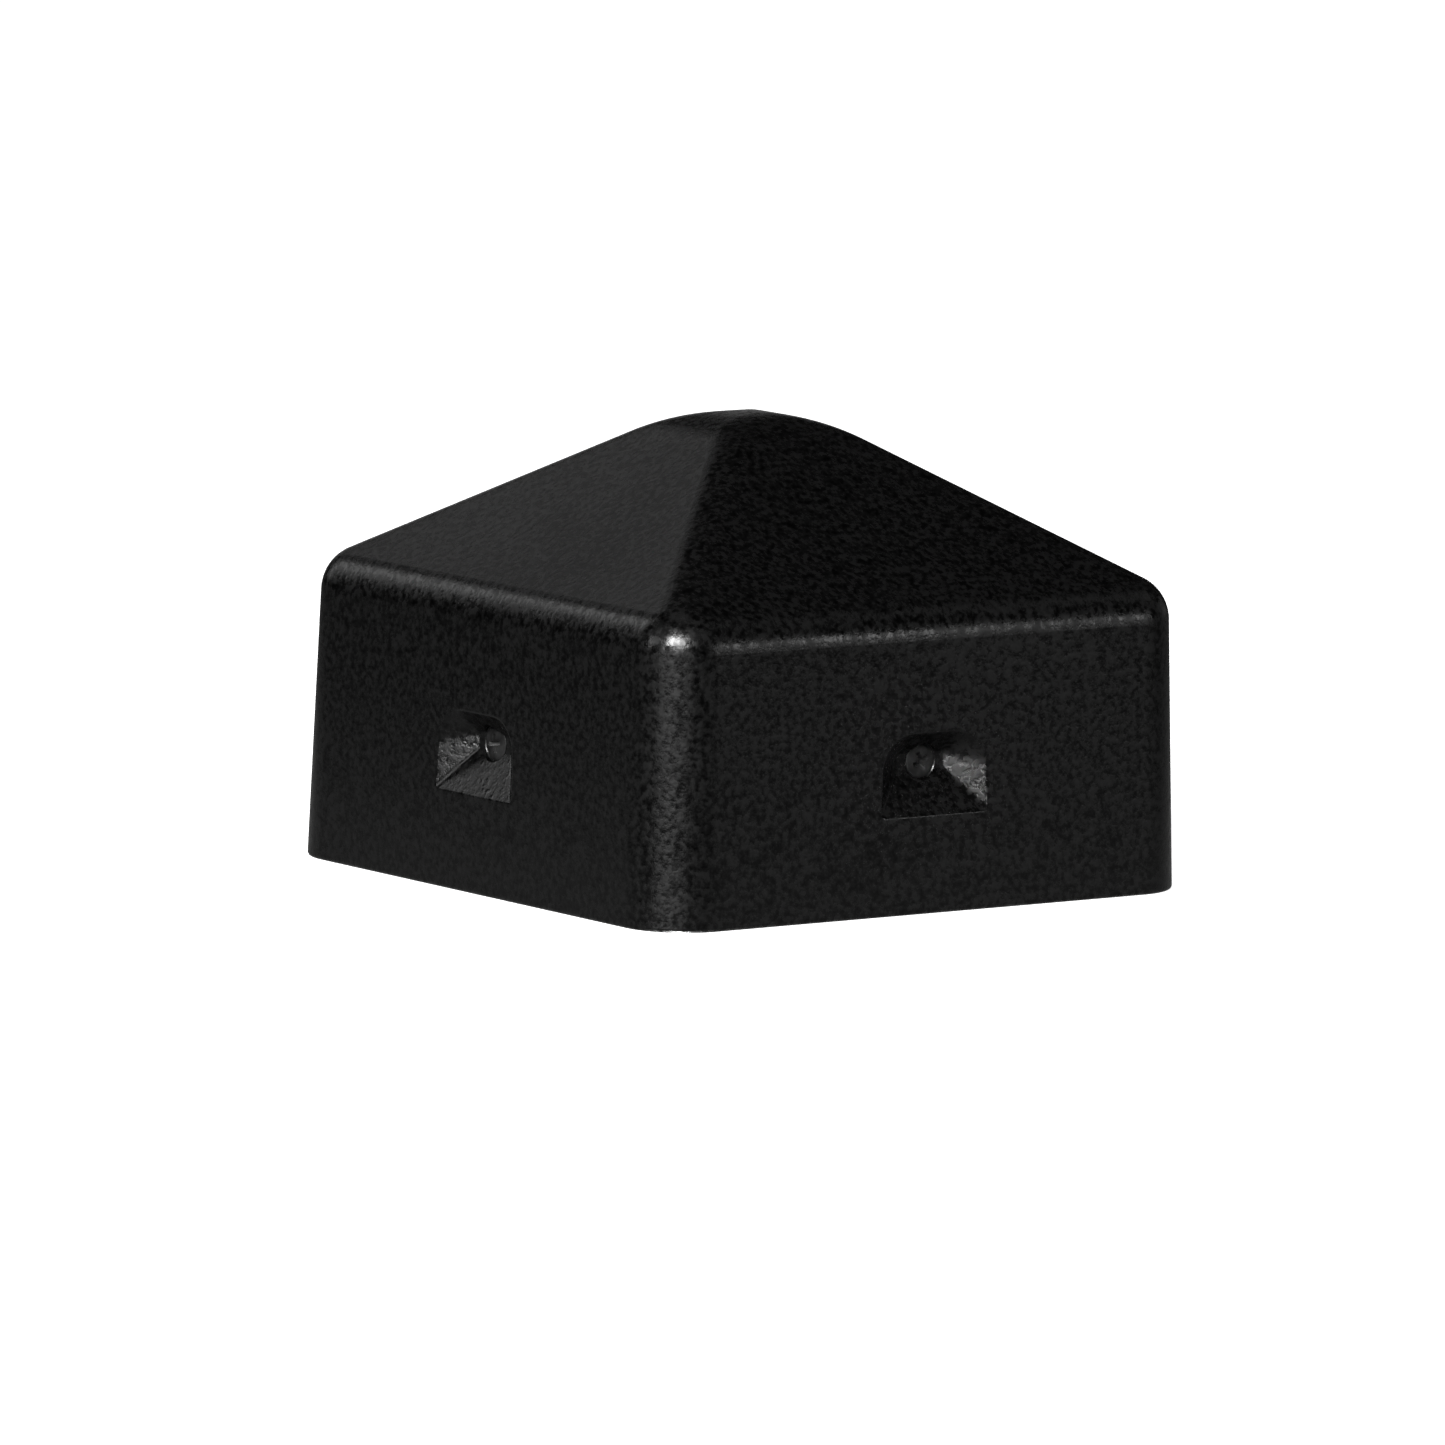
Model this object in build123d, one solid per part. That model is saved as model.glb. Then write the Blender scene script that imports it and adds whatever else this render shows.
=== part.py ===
from build123d import *
import os
from math import cos, radians, tan

# Pyramid cap for the top of a 75 mm square timber fence post: one hollow plastic moulding and
# the four countersunk screws that fix it to the post. Millimetres, +Z up, front towards -Y.
# The origin is the centre of the open lower rim.

# Outside of the cap
RIM_WIDTH = 85.0  # across opposite walls at the rim
SKIRT_HEIGHT = 38.0  # rim to the line where wall and roof would meet if they were sharp
WALL_DRAFT = 2.0  # degrees that each wall leans in
ROOF_PITCH = 32.5  # degrees that each roof face rises
CORNER_RADIUS = 8.5  # upright corners at the rim
HIP_RADIUS = 6.8  # the four hips of the roof
SHOULDER_RADIUS = 6.0  # wall into roof
APEX_RADIUS = 23.0  # each roof face curves over the top with this radius
RIM_ROUND = 0.5  # outer edge of the rim

# Inside of the cap
POST_WIDTH = 75.0
WALL = 3.0  # thickness of walls and roof
INNER_TIGHTNESS = 1.5  # inner corners are this much tighter, so that a square post goes in
POST_CLEARANCE = 0.4  # between the post and the ribs and pads that centre it
POST_STOP = 34.0  # height of the web edges that rest on the post's end
WEB_THICKNESS = 2.2
RIB_WIDTH = 2.0
RIB_OFFSET = 22.0  # each wall has a rib this far to either side of its middle
RIB_LEAD_IN = 5.0  # sloped start of a rib above the rim

# Pocket in the middle of each wall: four faces that slope in to a small floor, flat below and
# arched above
POCKET_WIDTH = 16.4
POCKET_BOTTOM = 12.9
POCKET_TOP = 23.3
POCKET_DEPTH = 3.2
POCKET_ROUND = 0.4  # edge between pocket and wall
FLOOR_WIDTH = 7.4
FLOOR_HEIGHT = 2.2
TOP_CORNER = 5.0
BOTTOM_CORNER = 0.7
FLOOR_CORNER = 0.5
PAD_RADIUS = 8.0  # thicker pad behind the pocket

# Screw hole in the floor of each pocket
SCREW_HEIGHT = 19.1
SEAT_RADIUS = 2.4  # wide end of the countersink, cut into the sloping faces too
HOLE_RADIUS = 1.35

# Screw, nominally 2.5 x 20 with a raised countersunk head
HEAD_RADIUS = 2.2
HEAD_RISE = 0.3  # dome of the head above its edge
SHANK_RADIUS = 0.9  # thread root
THREAD_RADIUS = 1.25
THREAD_PITCH = 1.1
SCREW_LENGTH = 20.0  # edge of the head to the point
POINT_LENGTH = 2.6
DRIVE_WIDTH = 2.6  # across the cross recess
DRIVE_SLOT = 0.6
DRIVE_DEPTH = 1.0

SIDES = {"front": 0, "right": 90, "back": 180, "left": 270}

REACH = RIM_WIDTH  # tool bodies run this far past the cap
SLOPE = tan(radians(ROOF_PITCH))


def wall_half(z, shrink=0.0):
    """Half the distance across opposite walls at height z."""
    return RIM_WIDTH / 2 - shrink - z * tan(radians(WALL_DRAFT))


def column(shrink, base):
    """Square column with drafted walls and round corners, taller than the roof."""
    side = 2 * wall_half(base, shrink)
    outline = RectangleRounded(side, side, CORNER_RADIUS - INNER_TIGHTNESS * shrink)
    return extrude(Pos(0, 0, base) * outline, amount=REACH, taper=WALL_DRAFT)


def gable(shrink, base):
    """Prism along Y whose two slopes meet in a rounded ridge."""
    ridge = SKIRT_HEIGHT + SLOPE * wall_half(SKIRT_HEIGHT) - shrink / cos(radians(ROOF_PITCH))
    eaves = ridge - SLOPE * REACH
    outline = Polyline(
        (-REACH, base),
        (REACH, base),
        (REACH, eaves),
        (0, ridge),
        (-REACH, eaves),
        close=True,
    )
    prism = extrude(Plane.XZ * make_face(outline), amount=REACH, both=True)
    top_edge = prism.edges().filter_by(Axis.Y).sort_by(Axis.Z)[-1]
    return fillet(top_edge, APEX_RADIUS - shrink)


def runs_three_ways(edge):
    size = edge.bounding_box().size
    return min(size.X, size.Y, size.Z) > 0.01


def hipped_roof(shrink, base):
    """Two gables crossed, with their hips rounded."""
    prism = gable(shrink, base)
    roof = prism & prism.rotate(Axis.Z, 90)
    hips = [edge for edge in roof.edges() if runs_three_ways(edge)]
    return roof.fillet(HIP_RADIUS - shrink, hips)


def cap_form(shrink=0.0, base=0.0):
    """Solid outline of the cap from height base up, moved in by shrink on every face."""
    form = column(shrink, base) & hipped_roof(shrink, base)
    shoulder = [edge for edge in form.edges() if abs(edge.center().Z - SKIRT_HEIGHT) < WALL]
    return form.fillet(SHOULDER_RADIUS - INNER_TIGHTNESS * shrink, shoulder)


def hollow_cap():
    """Outer form with an even wall and a softened rim."""
    outer = cap_form()
    rim = outer.faces().sort_by(Axis.Z)[0].outer_wire().edges()
    return outer.fillet(RIM_ROUND, rim) - cap_form(WALL, base=-1.0)


def round_the_walls(feature):
    """The same feature on all four walls."""
    return [feature.rotate(Axis.Z, turn) for turn in SIDES.values()]


def grip_half():
    """Half the clear width between the ribs of opposite walls."""
    return POST_WIDTH / 2 + POST_CLEARANCE


def grip_rib(x):
    """Upright rib inside the front wall that keeps the post central."""
    inner = grip_half()
    outer = wall_half(0) - WALL / 2
    outline = Polyline(
        (-inner, POST_STOP),
        (-inner, RIB_LEAD_IN + 1.0),
        (-outer, 1.0),
        (-outer, POST_STOP),
        close=True,
    )
    return Pos(x, 0, 0) * extrude(Plane.YZ * make_face(outline), amount=RIB_WIDTH / 2, both=True)


def screw_pad():
    """Round pad that thickens the front wall behind the screw hole."""
    depth = wall_half(SCREW_HEIGHT) - WALL / 2 - grip_half()
    face = Plane(origin=(0, -grip_half(), SCREW_HEIGHT), x_dir=(1, 0, 0), z_dir=(0, -1, 0))
    return extrude(face * Circle(PAD_RADIUS), amount=depth)


def post_stop_webs():
    """Two crossed webs under the roof, flat below, that rest on the post."""
    height = REACH - POST_STOP
    web = Pos(0, 0, POST_STOP + height / 2) * Box(WEB_THICKNESS, RIM_WIDTH, height)
    return web + web.rotate(Axis.Z, 90)


def inner_details():
    """Ribs, pads and webs, trimmed to end inside the thickness of the wall."""
    details = post_stop_webs()
    for x in (-RIB_OFFSET, RIB_OFFSET):
        details += round_the_walls(grip_rib(x))
    details += round_the_walls(screw_pad())
    return details & cap_form(WALL / 2)


def outward_plane(y):
    """Plane across the front screw's axis, y from the middle of the cap, facing out."""
    return Plane(origin=(0, -y, SCREW_HEIGHT), x_dir=(1, 0, 0), z_dir=(0, -1, 0))


def pocket_floor():
    """Distance from the middle of the cap to the floor of the pocket."""
    return wall_half(SCREW_HEIGHT) - POCKET_DEPTH


def pocket_outline(share):
    """Outline of the pocket between its floor, at share 0, and its mouth, at share 1."""
    width = FLOOR_WIDTH + (POCKET_WIDTH - FLOOR_WIDTH) * share
    below = FLOOR_HEIGHT / 2 + (SCREW_HEIGHT - POCKET_BOTTOM - FLOOR_HEIGHT / 2) * share
    above = FLOOR_HEIGHT / 2 + (POCKET_TOP - SCREW_HEIGHT - FLOOR_HEIGHT / 2) * share
    outline = Pos(0, (above - below) / 2) * Rectangle(width, above + below)
    upper = outline.vertices().group_by(Axis.Y)[-1]
    outline = fillet(upper, FLOOR_CORNER + (TOP_CORNER - FLOOR_CORNER) * share)
    lower = outline.vertices().group_by(Axis.Y)[0]
    outline = fillet(lower, FLOOR_CORNER + (BOTTOM_CORNER - FLOOR_CORNER) * share)
    return outward_plane(pocket_floor() + POCKET_DEPTH * share) * outline


def screw_recess():
    """Tool for the front wall: pocket, seat for the head and clearance hole."""
    beyond = 1.4  # share that takes the tool clear of the wall
    pocket = loft([pocket_outline(0), pocket_outline(beyond)], ruled=True)
    floor = pocket_floor()
    seat = loft(
        [
            outward_plane(floor - (SEAT_RADIUS - HOLE_RADIUS)) * Circle(HOLE_RADIUS),
            outward_plane(floor) * Circle(SEAT_RADIUS),
        ],
        ruled=True,
    )
    seat += extrude(outward_plane(floor) * Circle(SEAT_RADIUS), amount=POCKET_DEPTH)
    hole = extrude(outward_plane(floor - 2 * WALL) * Circle(HOLE_RADIUS), amount=2 * WALL)
    return pocket + seat + hole


def is_pocket_mouth(edge):
    """Whether an edge is part of the line where a pocket meets the face of its wall."""
    middle = edge.center()
    out = max(abs(middle.X), abs(middle.Y))
    along = min(abs(middle.X), abs(middle.Y))
    on_wall = abs(out - wall_half(middle.Z)) < 0.3
    at_height = POCKET_BOTTOM - 1.0 < middle.Z < POCKET_TOP + 1.0
    return on_wall and at_height and along < POCKET_WIDTH / 2 + 0.5


def cap_shell():
    shell = hollow_cap() + inner_details()
    for recess in round_the_walls(screw_recess()):
        shell -= recess
    mouths = [edge for edge in shell.edges() if is_pocket_mouth(edge)]
    return shell.fillet(POCKET_ROUND, mouths)


def thread_outline(start, end):
    """Points of the ridges from start down to end."""
    points = []
    z = start
    while z - THREAD_PITCH > end:
        points.append((SHANK_RADIUS, z))
        points.append((THREAD_RADIUS, z - 0.3 * THREAD_PITCH))
        points.append((SHANK_RADIUS, z - 0.6 * THREAD_PITCH))
        z -= THREAD_PITCH
    return points


def drive_recess():
    """Cross recess in the top of the head, narrower at the bottom."""
    half = DRIVE_WIDTH / 2
    outline = Polyline(
        (-half, HEAD_RISE),
        (half, HEAD_RISE),
        (half / 3, -DRIVE_DEPTH),
        (-half / 3, -DRIVE_DEPTH),
        close=True,
    )
    blade = extrude(Plane.XZ * make_face(outline), amount=DRIVE_SLOT / 2, both=True)
    return blade + blade.rotate(Axis.Z, 90)


def screw():
    """Screw along Z with the edge of its head at height 0 and its point down."""
    neck = -(HEAD_RADIUS - SHANK_RADIUS)
    point_start = -(SCREW_LENGTH - POINT_LENGTH)
    side = [(HEAD_RADIUS, 0), (SHANK_RADIUS, neck)]
    side += thread_outline(neck - THREAD_PITCH, point_start)
    side += [(SHANK_RADIUS, point_start), (0, -SCREW_LENGTH)]
    dome = ThreePointArc((0, HEAD_RISE), (HEAD_RADIUS / 2, 0.75 * HEAD_RISE), (HEAD_RADIUS, 0))
    axis_line = Line((0, -SCREW_LENGTH), (0, HEAD_RISE))
    outline = make_face([dome, Polyline(*side), axis_line])
    turned = revolve(Plane.XZ * outline, Axis.Z)
    return turned - drive_recess()


def fixing_screw(turn):
    """Screw driven home in the wall that faces turn degrees from the front."""
    return (outward_plane(pocket_floor()) * screw()).rotate(Axis.Z, turn)


def main():
    os.makedirs("parts", exist_ok=True)
    nodes = {"cap_shell": cap_shell()}
    for side, turn in SIDES.items():
        nodes["fixing_screw_" + side] = fixing_screw(turn)
    for name, shape in nodes.items():
        export_step(shape, "parts/" + name + ".step")
        box = shape.bounding_box()
        print(name, "solids", len(shape.solids()), "volume", round(shape.volume), box.min, box.max)


main()
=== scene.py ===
from math import cos, pi, radians, sin

import bmesh
import bpy
from mathutils import Matrix, Vector


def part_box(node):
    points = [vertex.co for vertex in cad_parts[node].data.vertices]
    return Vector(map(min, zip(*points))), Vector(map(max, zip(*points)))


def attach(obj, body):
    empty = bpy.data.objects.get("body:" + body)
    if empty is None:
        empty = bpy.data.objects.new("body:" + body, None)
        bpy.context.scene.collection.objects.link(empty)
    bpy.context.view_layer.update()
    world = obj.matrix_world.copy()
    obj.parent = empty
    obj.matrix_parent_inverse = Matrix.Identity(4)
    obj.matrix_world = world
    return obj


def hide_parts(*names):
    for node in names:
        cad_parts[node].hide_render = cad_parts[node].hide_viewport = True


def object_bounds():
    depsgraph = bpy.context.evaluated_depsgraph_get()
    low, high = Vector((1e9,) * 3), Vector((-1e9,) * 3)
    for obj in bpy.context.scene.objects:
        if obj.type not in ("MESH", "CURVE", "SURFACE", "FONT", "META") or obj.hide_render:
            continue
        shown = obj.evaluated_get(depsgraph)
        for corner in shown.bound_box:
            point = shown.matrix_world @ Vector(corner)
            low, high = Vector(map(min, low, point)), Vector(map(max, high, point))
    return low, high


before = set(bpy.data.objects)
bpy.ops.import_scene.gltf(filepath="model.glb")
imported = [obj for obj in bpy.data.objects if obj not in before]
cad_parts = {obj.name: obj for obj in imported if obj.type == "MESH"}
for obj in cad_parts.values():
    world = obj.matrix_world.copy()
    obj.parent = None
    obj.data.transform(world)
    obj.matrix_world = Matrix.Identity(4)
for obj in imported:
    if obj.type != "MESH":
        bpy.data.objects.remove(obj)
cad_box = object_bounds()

# Fence post cap: satin black plastic moulding with four black screws in its recesses.
# Metres, +Z up, front towards -Y. The cap keeps its CAD mesh and gets a moulded plastic
# material, and each CAD screw is replaced by one with a real helical thread.

MM = 0.001

# Camera, at the viewing angle of the photograph
VIEW_AZIMUTH = -36.2
VIEW_ELEVATION = 7.19
VIEW_ROLL = 1.18  # the top of the object leans to the right by this much
VIEW_DISTANCE = 1.700
LENS = 327.8  # mm on a 36 mm sensor
TARGET_HEIGHT = 30 * MM
TARGET_RIGHT = 2.58 * MM  # the target stands this far right of the middle of the frame
TARGET_UP = 10.50 * MM

# Screw, nominally 2.5 x 20
HEAD_RADIUS = 2.2 * MM
HEAD_RISE = 0.3 * MM
HEAD_EDGE = 0.12 * MM  # upright land round the head
HEAD_CHAMFER = 0.02 * MM
SHANK_RADIUS = 0.9 * MM
THREAD_RADIUS = 1.25 * MM
THREAD_PITCH = 1.1 * MM
SCREW_LENGTH = 20 * MM
POINT_LENGTH = 2.6 * MM
POINT_FLAT = 0.05 * MM  # the thread ends this far above the very point
DRIVE_WIDTH = 2.6 * MM
DRIVE_SLOT = 0.6 * MM
DRIVE_DEPTH = 1.0 * MM
AROUND = 72  # columns of the screw's mesh
DOME_STEPS = 10  # rings of the head's dome
EDGE_ROUND = 0.04 * MM
EDGE_ZONE = -1.2 * MM  # sharp edges above this height are rounded
SAME_PLACE = 0.0005 * MM  # vertices closer than this are merged

# One pitch of the thread: how far along it, and the share of the crest's height there
THREAD_PROFILE = [
    (0.0, 0.0),
    (0.12, 0.35),
    (0.24, 0.8),
    (0.29, 1.0),
    (0.31, 1.0),
    (0.36, 0.8),
    (0.48, 0.35),
    (0.6, 0.0),
    (0.8, 0.0),
]

# How far each screw happens to be turned, in degrees
DRIVE_ANGLES = {"front": 24, "right": 71, "back": 48, "left": 9}


# ---------------------------------------------------------------- node helpers

def new_material(name):
    material = bpy.data.materials.new(name)
    material.use_nodes = True
    material.node_tree.nodes.clear()
    return material


def feed(tree, socket, value):
    """Gives a socket a value, or links it to another node's output."""
    if isinstance(value, bpy.types.NodeSocket):
        tree.links.new(value, socket)
    else:
        socket.default_value = value


def add(tree, kind, settings=None, **inputs):
    """New node with its properties set and its sockets fed."""
    made = tree.nodes.new(kind)
    for name, value in (settings or {}).items():
        setattr(made, name, value)
    for name, value in inputs.items():
        feed(tree, made.inputs[name.replace("_", " ")], value)
    return made


def noise(tree, coordinates, scale, detail=2.0, roughness=0.5):
    settings = {"Vector": coordinates, "Scale": scale, "Detail": detail, "Roughness": roughness}
    return add(tree, "ShaderNodeTexNoise", **settings).outputs["Fac"]


def remap(tree, value, low, high, to_low, to_high):
    """value from low..high stretched to to_low..to_high and held at the ends."""
    made = add(tree, "ShaderNodeMapRange", Value=value)
    made.inputs["From Min"].default_value = low
    made.inputs["From Max"].default_value = high
    made.inputs["To Min"].default_value = to_low
    made.inputs["To Max"].default_value = to_high
    return made.outputs["Result"]


def arithmetic(tree, operation, first, second):
    made = add(tree, "ShaderNodeMath", {"operation": operation})
    for socket, value in zip(made.inputs, (first, second)):
        feed(tree, socket, value)
    return made.outputs["Value"]


def blend_colours(tree, amount, first, second):
    made = add(tree, "ShaderNodeMix", {"data_type": "RGBA"})
    colour_sockets = [socket for socket in made.inputs if socket.type == "RGBA"]
    for socket, value in zip(colour_sockets, (first, second)):
        feed(tree, socket, value)
    feed(tree, made.inputs[0], amount)
    return [socket for socket in made.outputs if socket.type == "RGBA"][0]


def blend_shaders(tree, amount, first, second):
    made = add(tree, "ShaderNodeMixShader")
    for socket, value in zip(made.inputs, (amount, first, second)):
        feed(tree, socket, value)
    return made.outputs["Shader"]


def grey(value):
    return (value, value, value, 1.0)


def surface(tree, shader):
    """Makes shader the material's surface."""
    output = add(tree, "ShaderNodeOutputMaterial")
    tree.links.new(shader, output.inputs["Surface"])


# ---------------------------------------------------------------- materials

def black_plastic():
    """Satin black plastic with the fine mottled grain of a textured mould."""
    material = new_material("black_moulded_plastic")
    tree = material.node_tree
    place = add(tree, "ShaderNodeTexCoord").outputs["Object"]
    mottle = noise(tree, place, 1150, detail=2.0, roughness=0.6)
    grain = noise(tree, place, 2400, detail=2.0, roughness=0.6)
    flow = noise(tree, place, 28, detail=3.0, roughness=0.55)

    tone = remap(tree, mottle, 0.34, 0.66, 0.0, 1.0)
    colour = blend_colours(tree, tone, grey(0.0003), grey(0.0041))
    rough = arithmetic(
        tree,
        "ADD",
        remap(tree, mottle, 0.36, 0.64, 0.17, 0.36),
        remap(tree, flow, 0.3, 0.7, -0.04, 0.04),
    )
    height = arithmetic(tree, "ADD", mottle, arithmetic(tree, "MULTIPLY", grain, 0.35))
    bump = add(tree, "ShaderNodeBump", Strength=1.0, Distance=0.05 * MM, Height=height)
    shader = add(tree, "ShaderNodeBsdfPrincipled", Roughness=rough, Normal=bump.outputs["Normal"])
    feed(tree, shader.inputs["Base Color"], colour)
    shader.inputs["Specular IOR Level"].default_value = 0.35
    surface(tree, shader.outputs["BSDF"])
    return material


def black_steel():
    """Black coated steel with a fine grain and paler rubbed patches."""
    material = new_material("black_coated_steel")
    tree = material.node_tree
    place = add(tree, "ShaderNodeTexCoord").outputs["Object"]
    mottle = noise(tree, place, 1300, detail=2.0, roughness=0.6)
    rub = noise(tree, place, 420, detail=3.0, roughness=0.6)
    colour = blend_colours(tree, remap(tree, rub, 0.4, 0.75, 0.0, 1.0), grey(0.004), grey(0.02))
    rough = remap(tree, mottle, 0.3, 0.7, 0.40, 0.56)
    bump = add(tree, "ShaderNodeBump", Strength=0.4, Distance=0.02 * MM, Height=mottle)
    shader = add(tree, "ShaderNodeBsdfPrincipled", Roughness=rough, Normal=bump.outputs["Normal"])
    feed(tree, shader.inputs["Base Color"], colour)
    shader.inputs["Specular IOR Level"].default_value = 0.2
    surface(tree, shader.outputs["BSDF"])
    return material


def give_material(piece, material):
    piece.data.materials.clear()
    piece.data.materials.append(material)


# ---------------------------------------------------------------- screws

def mesh_object(name, bm):
    mesh = bpy.data.meshes.new(name)
    bm.to_mesh(mesh)
    bm.free()
    made = bpy.data.objects.new(name, mesh)
    bpy.context.scene.collection.objects.link(made)
    return made


def core_radius(z):
    """Radius of the shank at height z, tapering to the point."""
    point_start = -(SCREW_LENGTH - POINT_LENGTH)
    if z >= point_start:
        return SHANK_RADIUS
    return SHANK_RADIUS * max(z + SCREW_LENGTH, 0.0) / POINT_LENGTH


def ridge_height(z, start, end):
    """Height of the thread's crest at height z: full along the shank, fading out at both ends."""
    fade = min((start - z) / THREAD_PITCH, (z - end) / POINT_LENGTH, 1.0)
    return (THREAD_RADIUS - SHANK_RADIUS) * max(fade, 0.0)


def threaded_shank(bm, top):
    """Shank with a right-hand thread whose rows of faces follow the helix."""
    bottom = -SCREW_LENGTH + POINT_FLAT
    turns = int((top - bottom) / THREAD_PITCH) + 2
    lattice = []
    for column in range(AROUND + 1):
        angle = 2 * pi * column / AROUND
        line = []
        for turn in range(turns + 1):
            for phase, share in THREAD_PROFILE:
                along_helix = bottom + (turn - 1 + phase + column / AROUND) * THREAD_PITCH
                z = min(max(along_helix, bottom), top)
                radius = core_radius(z) + share * ridge_height(z, top, bottom)
                line.append(bm.verts.new((radius * cos(angle), radius * sin(angle), z)))
        lattice.append(line)
    for column in range(AROUND):
        here, following = lattice[column], lattice[column + 1]
        for row in range(len(here) - 1):
            bm.faces.new((here[row], following[row], following[row + 1], here[row + 1]))
    return lattice


def turned_head(bm, top):
    """Countersunk head above the shank: cone, land and dome, closed at its middle."""
    profile = [(SHANK_RADIUS, top), (HEAD_RADIUS - HEAD_CHAMFER, -HEAD_EDGE), (HEAD_RADIUS, -HEAD_CHAMFER)]
    for step in range(1, DOME_STEPS):
        radius = HEAD_RADIUS * (1 - step / DOME_STEPS)
        profile.append((radius, HEAD_RISE * (1 - (radius / HEAD_RADIUS) ** 2)))
    rings = []
    for radius, z in profile:
        ring = []
        for column in range(AROUND):
            angle = 2 * pi * column / AROUND
            ring.append(bm.verts.new((radius * cos(angle), radius * sin(angle), z)))
        rings.append(ring)
    for lower, upper in zip(rings, rings[1:]):
        for column in range(AROUND):
            beside = (column + 1) % AROUND
            bm.faces.new((lower[column], lower[beside], upper[beside], upper[column]))
    close_ring(bm, rings[-1], HEAD_RISE)


def close_ring(bm, ring, z):
    """Closes a ring of vertices with a fan round a middle vertex at height z."""
    middle = bm.verts.new((0, 0, z))
    for column, vertex in enumerate(ring):
        bm.faces.new((vertex, ring[(column + 1) % len(ring)], middle))


def cross_outline(half_length, half_width, z):
    """Corners of a level cross at height z."""
    corners = []
    for quarter in range(4):
        turn = Matrix.Rotation(quarter * pi / 2, 4, "Z")
        for x, y in ((half_length, -half_width), (half_length, half_width), (half_width, half_width)):
            corners.append(turn @ Vector((x, y, z)))
    return corners


def drive_tool():
    """Closed mesh of the cross recess, which narrows towards its bottom and ends above the head."""
    bm = bmesh.new()
    levels = [
        cross_outline(DRIVE_WIDTH / 6, DRIVE_SLOT * 0.45, -DRIVE_DEPTH),
        cross_outline(DRIVE_WIDTH / 2, DRIVE_SLOT * 0.5, HEAD_RISE),
        cross_outline(DRIVE_WIDTH * 0.53, DRIVE_SLOT * 0.52, 2 * HEAD_RISE),
    ]
    loops = [[bm.verts.new(corner) for corner in level] for level in levels]
    for lower, upper in zip(loops, loops[1:]):
        for index in range(len(lower)):
            beside = (index + 1) % len(lower)
            bm.faces.new((lower[index], lower[beside], upper[beside], upper[index]))
    bm.faces.new(list(reversed(loops[0])))
    bm.faces.new(loops[-1])
    return mesh_object("drive_tool", bm)


def cut(piece, tool):
    """Cuts tool out of piece and removes tool."""
    modifier = piece.modifiers.new("cut", "BOOLEAN")
    modifier.operation = "DIFFERENCE"
    modifier.solver = "EXACT"
    modifier.object = tool
    evaluated = piece.evaluated_get(bpy.context.evaluated_depsgraph_get())
    result = bpy.data.meshes.new_from_object(evaluated)
    piece.modifiers.clear()
    piece.data = result
    bpy.data.objects.remove(tool)


def soften_head(mesh):
    """Rounds the sharp edges of the head and its recess."""
    bm = bmesh.new()
    bm.from_mesh(mesh)
    on_the_head = [edge for edge in bm.edges if min(vertex.co.z for vertex in edge.verts) > EDGE_ZONE]
    sharp = [edge for edge in on_the_head if edge.calc_face_angle(0) > radians(35)]
    bmesh.ops.bevel(bm, geom=sharp, offset=EDGE_ROUND, segments=2, profile=0.5, affect="EDGES")
    bm.to_mesh(mesh)
    bm.free()


def screw_mesh():
    """Screw along Z with the edge of its head at height 0 and its point down."""
    bm = bmesh.new()
    top = -(HEAD_RADIUS - SHANK_RADIUS)
    lattice = threaded_shank(bm, top)
    turned_head(bm, top)
    close_ring(bm, [line[0] for line in lattice[:-1]][::-1], -SCREW_LENGTH)
    bmesh.ops.remove_doubles(bm, verts=bm.verts, dist=SAME_PLACE)
    screw = mesh_object("screw_form", bm)
    cut(screw, drive_tool())
    soften_head(screw.data)
    mesh = screw.data
    bpy.data.objects.remove(screw)
    for face in mesh.polygons:
        face.use_smooth = True
    mesh.set_sharp_from_angle(angle=radians(40))
    return mesh


def home_position(node):
    """Matrix that lays the screw's mesh over a CAD screw, with Z out of the cap and point on point."""
    low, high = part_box(node)
    middle = (low + high) / 2
    outward = Vector((middle.x, middle.y, 0)).normalized()
    half_length = abs((high - low).dot(outward)) / 2
    tip = middle - outward * half_length
    across = Vector((0, 0, 1)).cross(outward)
    axes = Matrix((across, Vector((0, 0, 1)), outward)).transposed().to_4x4()
    return Matrix.Translation(tip + outward * SCREW_LENGTH) @ axes


def fit_screws():
    mesh = screw_mesh()
    material = black_steel()
    for side, angle in DRIVE_ANGLES.items():
        node = "fixing_screw_" + side
        screw = bpy.data.objects.new("raised_head_screw_" + side, mesh.copy())
        bpy.context.scene.collection.objects.link(screw)
        screw.matrix_world = home_position(node) @ Matrix.Rotation(radians(angle), 4, "Z")
        give_material(screw, material)
        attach(screw, "screw_" + side)
        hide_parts(node)


# ---------------------------------------------------------------- stage

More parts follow.
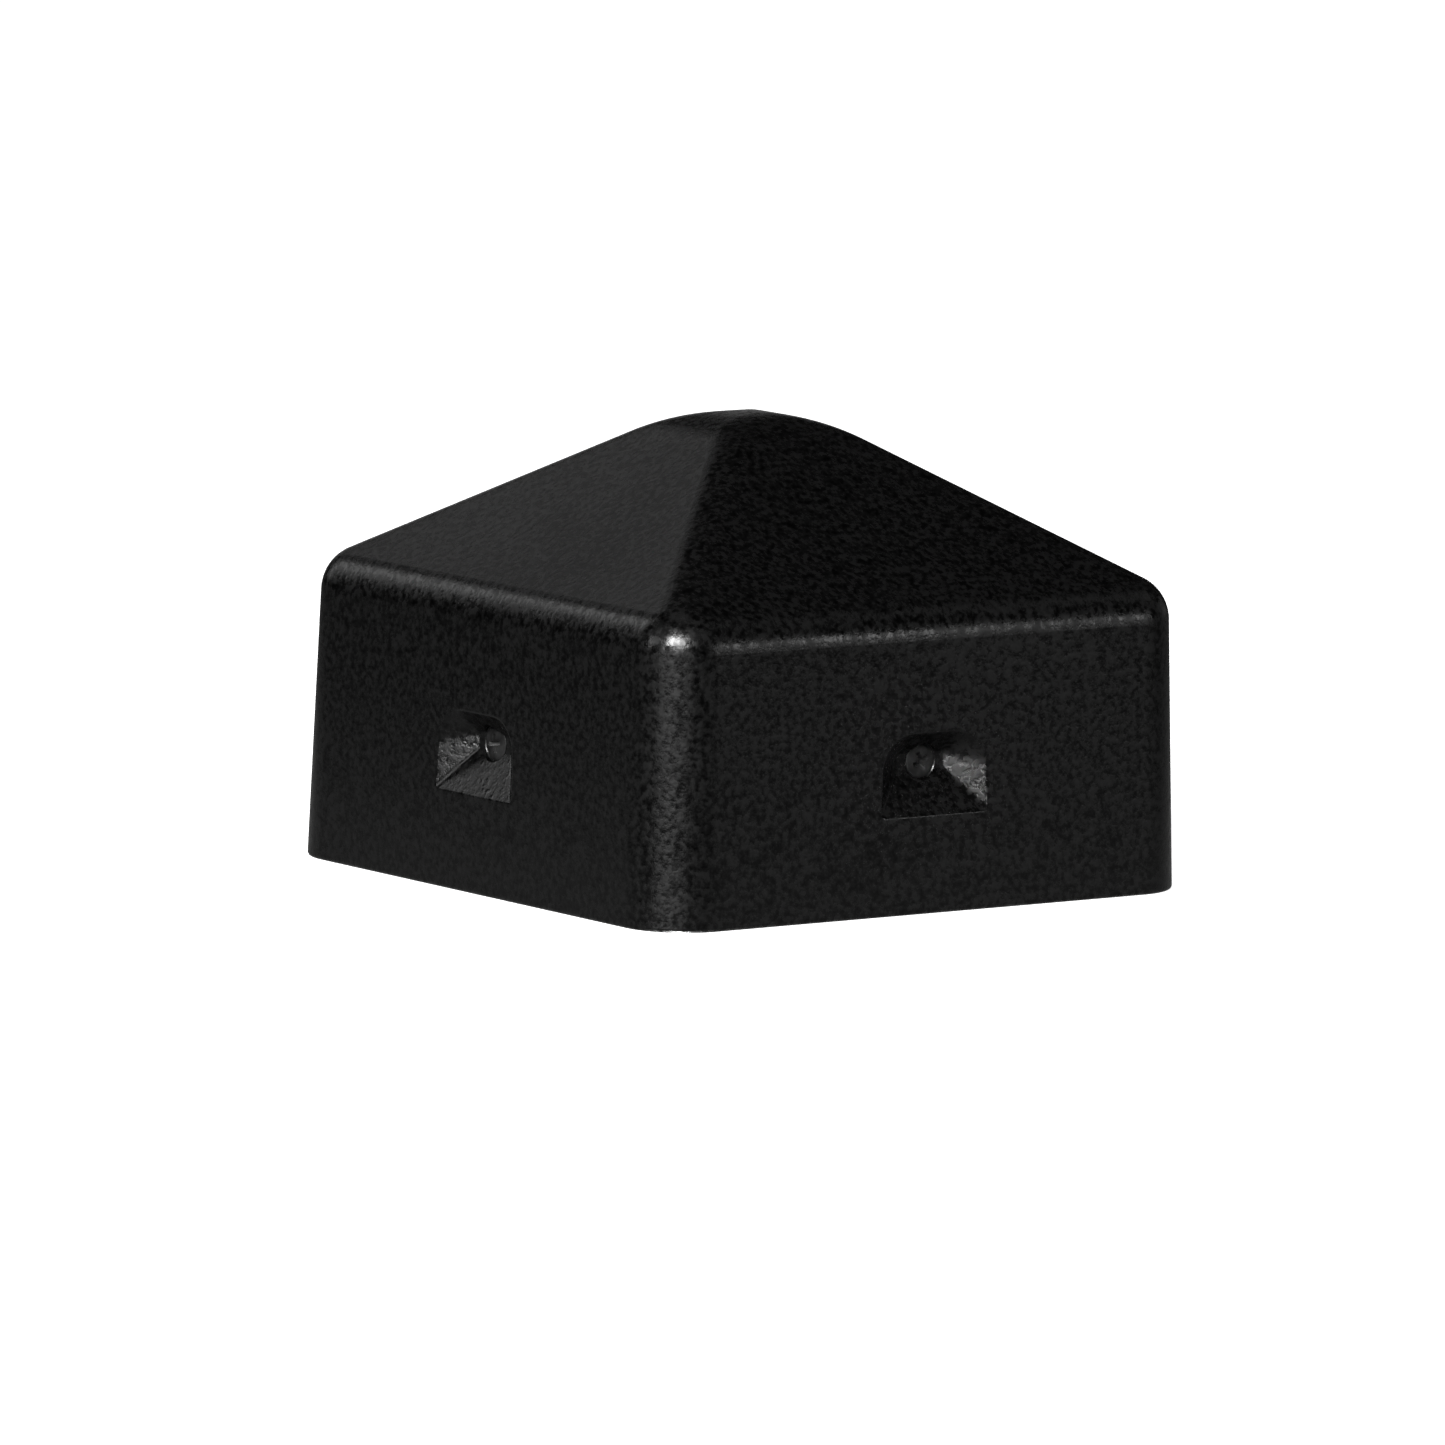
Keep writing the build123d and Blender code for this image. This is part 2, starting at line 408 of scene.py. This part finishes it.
# Softboxes, each named after what it lights or where it stands: azimuth and elevation in degrees
# as seen from the object (azimuth 0 is +Y and 90 is +X), distance, width and height in metres, watts
LIGHTS = {
    "corner_key": (231, 27, 1.2, 0.66, 0.32, 32.0),
    "front_low": (212, 0, 1.2, 0.20, 0.20, 0.25),
    "front_strip": (243, 0, 1.2, 0.80, 0.24, 1.50),
    "left_fill": (285, 20, 1.2, 0.30, 0.30, 1.35),
    "right_wall": (143, 4, 1.2, 0.60, 0.24, 0.19),
    "right_shoulder": (143, 12, 1.2, 0.30, 0.12, 0.65),
    "left_shoulder": (342, 26, 1.2, 0.25, 0.60, 0.75),
    "behind": (10, 35, 1.2, 0.30, 0.30, 0.096),
    "high_front": (195, 43, 1.2, 0.60, 0.60, 0.30),
    "high_left_front": (255, 43, 1.2, 0.60, 0.60, 0.30),
    "high_left": (290, 43, 1.2, 0.60, 0.60, 0.25),
    "high_right": (165, 47, 1.2, 0.40, 0.40, 0.08),
    "high_far_right": (110, 40, 1.2, 0.36, 0.36, 0.12),
    "right_side": (88, 8, 1.2, 0.60, 0.40, 0.15),
    "back_side": (28, 10, 1.2, 0.60, 0.40, 0.16),
    "top": (0, 88, 1.2, 0.50, 0.50, 0.25),
    "inside": (0, -90, 0.40, 0.04, 0.04, 6.0),
}

# Narrow beams on the pockets' sloping faces: side of the cap, azimuth, elevation, distance, width
# of the square lamp, angle of the beam in degrees, watts
POCKET_BEAMS = {
    "front_pocket_beam": ("front", 212, 0, 0.15, 0.020, 6.0, 0.00031),
    "left_pocket_beam": ("left", 250, 0, 0.15, 0.020, 6.0, 0.00020),
}

FLOOR_HALF = 6.0  # half of the floor's width
FLOOR_GAP = 0.05 * MM  # between the rim and the floor
FLOOR_GLOW = 0.92  # strength of the floor's own light for the camera
FLOOR_SHINE_NEAR = 0.20  # strength of the floor in reflections, close to the object
FLOOR_SHINE_FAR = 0.05
WORLD_SHINE = 0.01  # strength of the surroundings in reflections


def direction(azimuth, elevation):
    a, e = radians(azimuth), radians(elevation)
    return Vector((sin(a) * cos(e), cos(a) * cos(e), sin(e)))


def area_lamp(name, target, azimuth, elevation, distance, width, height, power):
    light = bpy.data.lights.new(name, "AREA")
    light.shape = "RECTANGLE"
    light.size = width
    light.size_y = height
    light.energy = power
    made = bpy.data.objects.new(name, light)
    bpy.context.scene.collection.objects.link(made)
    towards = direction(azimuth, elevation)
    made.location = target + towards * distance
    made.rotation_euler = towards.to_track_quat("Z", "Y").to_euler()
    made.visible_camera = False
    return light


def pocket_beam(name, side, azimuth, elevation, distance, size, angle, power):
    """Small lamp that lights only the pocket in one wall."""
    pocket = home_position("fixing_screw_" + side).translation
    light = area_lamp(name, pocket, azimuth, elevation, distance, size, size, power)
    light.spread = radians(angle)


def pale_floor():
    """Wide floor under the object: pale to the camera, dim in reflections and clear from below."""
    bm = bmesh.new()
    corners = [(-1, -1), (1, -1), (1, 1), (-1, 1)]
    bm.faces.new([bm.verts.new((x * FLOOR_HALF, y * FLOOR_HALF, 0)) for x, y in corners])
    floor = mesh_object("floor", bm)
    floor.location.z = cad_box[0].z - FLOOR_GAP
    material = new_material("pale_floor")
    tree = material.node_tree
    place = add(tree, "ShaderNodeTexCoord").outputs["Object"]
    cloud = noise(tree, place, 3.0, detail=4.0)
    paint = add(tree, "ShaderNodeBsdfDiffuse", Color=blend_colours(tree, cloud, grey(0.90), grey(0.94)))
    glow = add(tree, "ShaderNodeEmission", Strength=FLOOR_GLOW)
    lit = add(tree, "ShaderNodeAddShader")
    tree.links.new(paint.outputs["BSDF"], lit.inputs[0])
    tree.links.new(glow.outputs["Emission"], lit.inputs[1])
    distance = add(tree, "ShaderNodeVectorMath", {"operation": "LENGTH"}, Vector=place).outputs["Value"]
    fading = remap(tree, distance, 0.08, 0.32, FLOOR_SHINE_NEAR, FLOOR_SHINE_FAR)
    shine = add(tree, "ShaderNodeEmission", Strength=fading)
    seen = add(tree, "ShaderNodeLightPath").outputs["Is Camera Ray"]
    above = blend_shaders(tree, seen, shine.outputs["Emission"], lit.outputs["Shader"])
    clear = add(tree, "ShaderNodeBsdfTransparent").outputs["BSDF"]
    below = add(tree, "ShaderNodeNewGeometry").outputs["Backfacing"]
    surface(tree, blend_shaders(tree, below, above, clear))
    give_material(floor, material)
    floor.visible_shadow = False


def studio_world():
    """Pale surroundings for the camera, dim ones for the object."""
    world = bpy.data.worlds.new("studio")
    bpy.context.scene.world = world
    world.use_nodes = True
    tree = world.node_tree
    tree.nodes.clear()
    pale = add(tree, "ShaderNodeBackground", Color=grey(0.95), Strength=1.0).outputs["Background"]
    dim = add(tree, "ShaderNodeBackground", Color=grey(1.0), Strength=WORLD_SHINE).outputs["Background"]
    seen = add(tree, "ShaderNodeLightPath").outputs["Is Camera Ray"]
    output = add(tree, "ShaderNodeOutputWorld")
    tree.links.new(blend_shaders(tree, seen, dim, pale), output.inputs["Surface"])


def place_camera():
    """Camera at the viewing angle, rolled, with the target off the middle of the frame."""
    data = bpy.data.cameras.new("camera")
    data.lens = LENS
    data.sensor_width = 36
    data.clip_start = 0.01
    data.clip_end = 100
    camera = bpy.data.objects.new("camera", data)
    bpy.context.scene.collection.objects.link(camera)
    a, e = radians(VIEW_AZIMUTH), radians(VIEW_ELEVATION)
    back = Vector((sin(a) * cos(e), -cos(a) * cos(e), sin(e)))
    target = Vector((0, 0, TARGET_HEIGHT))
    level_right = Vector((0, 0, 1)).cross(back).normalized()
    level_up = back.cross(level_right)
    roll = radians(VIEW_ROLL)
    right = level_right * cos(roll) + level_up * sin(roll)
    up = level_up * cos(roll) - level_right * sin(roll)
    location = target + back * VIEW_DISTANCE
    aim = target - right * TARGET_RIGHT - up * TARGET_UP
    z_axis = (location - aim).normalized()
    x_axis = up.cross(z_axis).normalized()
    y_axis = z_axis.cross(x_axis)
    rotation = Matrix((x_axis, y_axis, z_axis)).transposed().to_4x4()
    camera.matrix_world = Matrix.Translation(location) @ rotation
    bpy.context.scene.camera = camera


def set_the_stage():
    bpy.context.scene.view_settings.view_transform = "Standard"
    pale_floor()
    studio_world()
    middle = Vector((0, 0, TARGET_HEIGHT))
    for name, placing in LIGHTS.items():
        area_lamp(name, middle, *placing)
    for name, placing in POCKET_BEAMS.items():
        pocket_beam(name, *placing)
    place_camera()


give_material(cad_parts["cap_shell"], black_plastic())
fit_screws()
set_the_stage()
